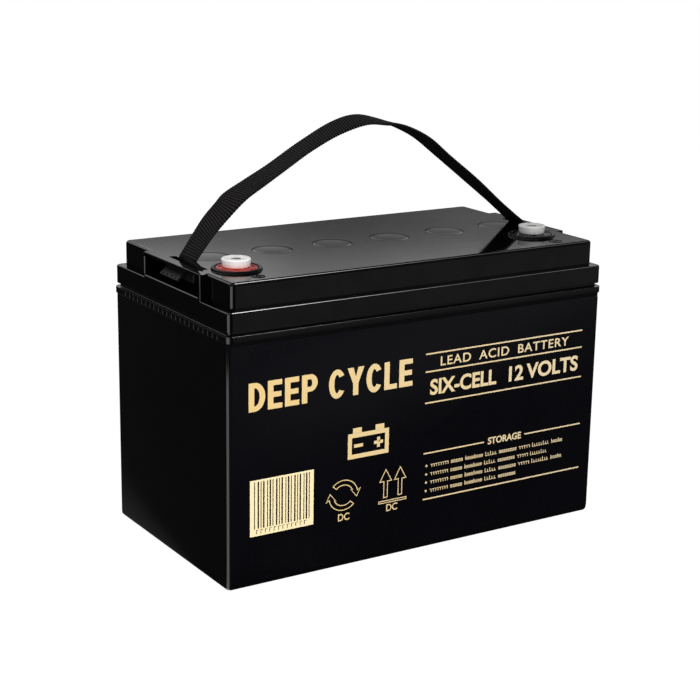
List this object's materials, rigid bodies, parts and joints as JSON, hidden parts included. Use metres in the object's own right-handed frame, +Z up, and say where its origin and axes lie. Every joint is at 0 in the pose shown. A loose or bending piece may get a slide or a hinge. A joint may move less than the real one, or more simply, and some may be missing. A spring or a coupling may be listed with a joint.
{
  "type": "deep cycle battery",
  "caption": "Sealed deep cycle battery block with a two-tier lid, recessed strap pockets, a swinging webbing carry strap, threaded insert terminals under transit caps and flush vent discs.",
  "frame": {"origin": "centre of the flat underside of the jar", "axes": "+X along the length from the positive end to the negative end, +Y from the label side to the back, +Z up"},
  "size_m": [0.3066, 0.1692, 0.292],
  "materials": {
    "case_black": "satin moulded ABS",
    "lid_black": "satin moulded ABS",
    "epoxy_seal": "cured epoxy",
    "label_film": "satin printed film",
    "rubber_black": "matt moulded rubber",
    "lead": "dull cast lead",
    "insert_brass": "machined brass",
    "ring_red": "satin red plastic",
    "ring_black": "satin black plastic",
    "sponge_lead": "matt grey sponge lead",
    "lead_oxide": "matt brown lead dioxide paste",
    "glass_mat": "fibrous glass mat",
    "webbing_black": "ribbed woven nylon webbing",
    "stop_black": "matt moulded plastic",
    "cap_white": "translucent white polyethylene"
  },
  "bodies": {
    "root": {"case_jar": "case_black", "case_lid": "lid_black", "lid_seal": "epoxy_seal", "front_label": "label_film", "vent_disc_1": "lid_black", "vent_disc_2": "lid_black", "vent_disc_3": "lid_black", "vent_disc_4": "lid_black", "vent_disc_5": "lid_black", "vent_disc_6": "lid_black", "terminal_post_positive": "lead", "terminal_insert_positive": "insert_brass", "terminal_oring_positive": "rubber_black", "polarity_ring_positive": "ring_red", "terminal_collar_positive": "lid_black", "terminal_post_negative": "lead", "terminal_insert_negative": "insert_brass", "terminal_oring_negative": "rubber_black", "polarity_ring_negative": "ring_black", "terminal_collar_negative": "lid_black", "negative_plates_1": "sponge_lead", "positive_plates_1": "lead_oxide", "separator_mat_1": "glass_mat", "negative_plates_2": "sponge_lead", "positive_plates_2": "lead_oxide", "separator_mat_2": "glass_mat", "negative_plates_3": "sponge_lead", "positive_plates_3": "lead_oxide", "separator_mat_3": "glass_mat", "negative_plates_4": "sponge_lead", "positive_plates_4": "lead_oxide", "separator_mat_4": "glass_mat", "negative_plates_5": "sponge_lead", "positive_plates_5": "lead_oxide", "separator_mat_5": "glass_mat", "negative_plates_6": "sponge_lead", "positive_plates_6": "lead_oxide", "separator_mat_6": "glass_mat", "cell_link_1": "lead", "cell_link_2": "lead", "cell_link_3": "lead", "cell_link_4": "lead", "cell_link_5": "lead"},
    "strap_ends": {"strap_end_left": "webbing_black", "strap_end_right": "webbing_black", "strap_stop_left": "stop_black", "strap_stop_right": "stop_black"},
    "strap": {"strap_span": "webbing_black"},
    "cap_positive": {"terminal_cap_positive": "cap_white"},
    "cap_negative": {"terminal_cap_negative": "cap_white"},
    "valve_1": {"vent_valve_1": "rubber_black"},
    "valve_2": {"vent_valve_2": "rubber_black"},
    "valve_3": {"vent_valve_3": "rubber_black"},
    "valve_4": {"vent_valve_4": "rubber_black"},
    "valve_5": {"vent_valve_5": "rubber_black"},
    "valve_6": {"vent_valve_6": "rubber_black"}
  },
  "joints": [
    {"name": "strap_lift", "type": "slide", "parent": "root", "child": "strap_ends", "axis": [0, 0, 1], "range_m": [0, 0.003]},
    {"name": "strap_swing", "type": "hinge", "parent": "strap_ends", "child": "strap", "pos_m": [0, -0.009, 0.218], "axis": [1, 0, 0], "range_deg": [-80, 80]},
    {"name": "cap_positive_pull", "type": "slide", "parent": "root", "child": "cap_positive", "axis": [0, 0, 1], "range_m": [0, 0.018]},
    {"name": "cap_negative_pull", "type": "slide", "parent": "root", "child": "cap_negative", "axis": [0, 0, 1], "range_m": [0, 0.018]},
    {"name": "valve_1_lift", "type": "slide", "parent": "root", "child": "valve_1", "axis": [0, 0, 1], "range_m": [0, 0.0015]},
    {"name": "valve_2_lift", "type": "slide", "parent": "root", "child": "valve_2", "axis": [0, 0, 1], "range_m": [0, 0.0015]},
    {"name": "valve_3_lift", "type": "slide", "parent": "root", "child": "valve_3", "axis": [0, 0, 1], "range_m": [0, 0.0015]},
    {"name": "valve_4_lift", "type": "slide", "parent": "root", "child": "valve_4", "axis": [0, 0, 1], "range_m": [0, 0.0015]},
    {"name": "valve_5_lift", "type": "slide", "parent": "root", "child": "valve_5", "axis": [0, 0, 1], "range_m": [0, 0.0015]},
    {"name": "valve_6_lift", "type": "slide", "parent": "root", "child": "valve_6", "axis": [0, 0, 1], "range_m": [0, 0.0015]}
  ]
}
